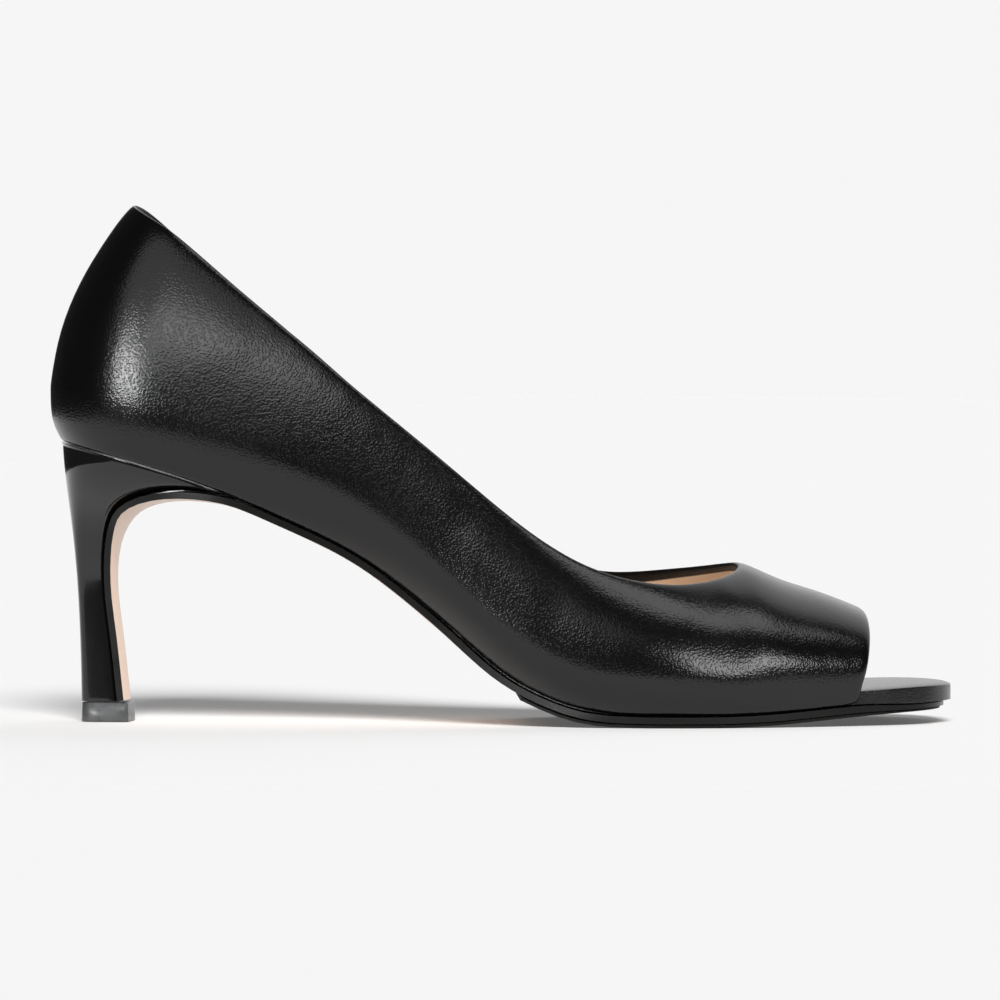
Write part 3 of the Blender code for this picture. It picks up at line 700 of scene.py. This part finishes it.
def soft_box(row, shoe):
    """Add a soft box that lights only the shoe, in a direction from a point on it."""
    name, target, azimuth, elevation, roll, distance, width, height, radiance = row
    turn = math.radians(azimuth)
    lift = math.radians(elevation)
    away = Vector((math.sin(turn) * math.cos(lift), -math.cos(turn) * math.cos(lift), math.sin(lift)))
    bpy.ops.object.light_add(type="AREA", location=Vector(target) + away * distance)
    lamp = bpy.context.active_object
    lamp.name = name
    lamp.data.shape = "ELLIPSE"
    lamp.data.size = width
    lamp.data.size_y = height
    lamp.data.energy = radiance * math.pi * (math.pi / 4 * width * height)
    facing = (-away).to_track_quat("-Z", "Y")
    lamp.rotation_euler = (facing @ Quaternion((0.0, 0.0, 1.0), math.radians(roll))).to_euler()
    lamp.light_linking.receiver_collection = shoe


def lit_group(name, pieces):
    """Return a collection of the pieces that a light reaches."""
    group = bpy.data.collections.new(name)
    for piece in pieces:
        group.objects.link(piece)
    return group


def make_world():
    """The studio around the shoe: pale behind it and to the toe's side, dark elsewhere."""
    world = bpy.data.worlds.new("studio")
    bpy.context.scene.world = world
    world.use_nodes = True
    tree = world.node_tree
    background = tree.nodes["Background"]
    place = tree.nodes.new("ShaderNodeTexCoord")
    parts = tree.nodes.new("ShaderNodeSeparateXYZ")
    link(tree, place, "Generated", parts, "Vector")
    both = tree.nodes.new("ShaderNodeMath")
    both.operation = "MULTIPLY"
    turns = (("Y", FAR_SIDE_START, FAR_SIDE_STOP), ("X", TOE_SIDE_START, TOE_SIDE_STOP))
    for count, (axis, start, stop) in enumerate(turns):
        mask = spread(tree, parts, axis, 0.0, 1.0, start, stop)
        mask.interpolation_type = "SMOOTHSTEP"
        link(tree, mask, "Result", both, count)
    level = spread(tree, both, "Value", STUDIO_DIM, BACKDROP, 0.0, 1.0)
    path = tree.nodes.new("ShaderNodeLightPath")
    seen = tree.nodes.new("ShaderNodeMix")
    seen.inputs["B"].default_value = BACKDROP
    link(tree, path, "Is Camera Ray", seen, "Factor")
    link(tree, level, "Result", seen, "A")
    link(tree, seen, 0, background, "Color")


def make_light(pieces):
    """A soft studio: one broad light from the front, and soft boxes whose shine the leather shows."""
    make_world()
    bpy.ops.object.light_add(type="SUN", location=(0.0, -2.0, 2.0))
    sun = bpy.context.active_object
    sun.name = "main_light"
    sun.data.energy = MAIN_LIGHT
    sun.data.angle = MAIN_LIGHT_SPREAD
    sun.rotation_euler = (MAIN_LIGHT_TILT, 0.0, MAIN_LIGHT_TURN)
    sun.visible_glossy = False
    shoe = lit_group("shoe_only", pieces)
    for row in SOFT_BOXES:
        soft_box(row, shoe)


def make_camera():
    """The photograph's view: level, from the outer side, with a long lens."""
    bpy.ops.object.camera_add(location=(CAMERA_ASIDE, -CAMERA_AWAY, CAMERA_HEIGHT))
    camera = bpy.context.active_object
    camera.rotation_euler = (math.pi / 2 - CAMERA_TILT, 0.0, 0.0)
    camera.data.lens = CAMERA_LENS
    camera.data.sensor_width = SENSOR_WIDTH
    camera.data.clip_start = NEAREST_SEEN
    camera.data.clip_end = FARTHEST_SEEN
    bpy.context.scene.camera = camera


def main():
    """Build the camera, the pieces, the floor and the light."""
    make_camera()
    grain = leather_grain_group()
    pieces = [make_upper(grain), make_footbed(grain), make_outsole(grain)]
    pieces += [make_tread(), make_heel(grain), make_tip()]
    make_floor()
    make_light(pieces)
    bpy.context.scene.view_settings.view_transform = "Standard"


main()
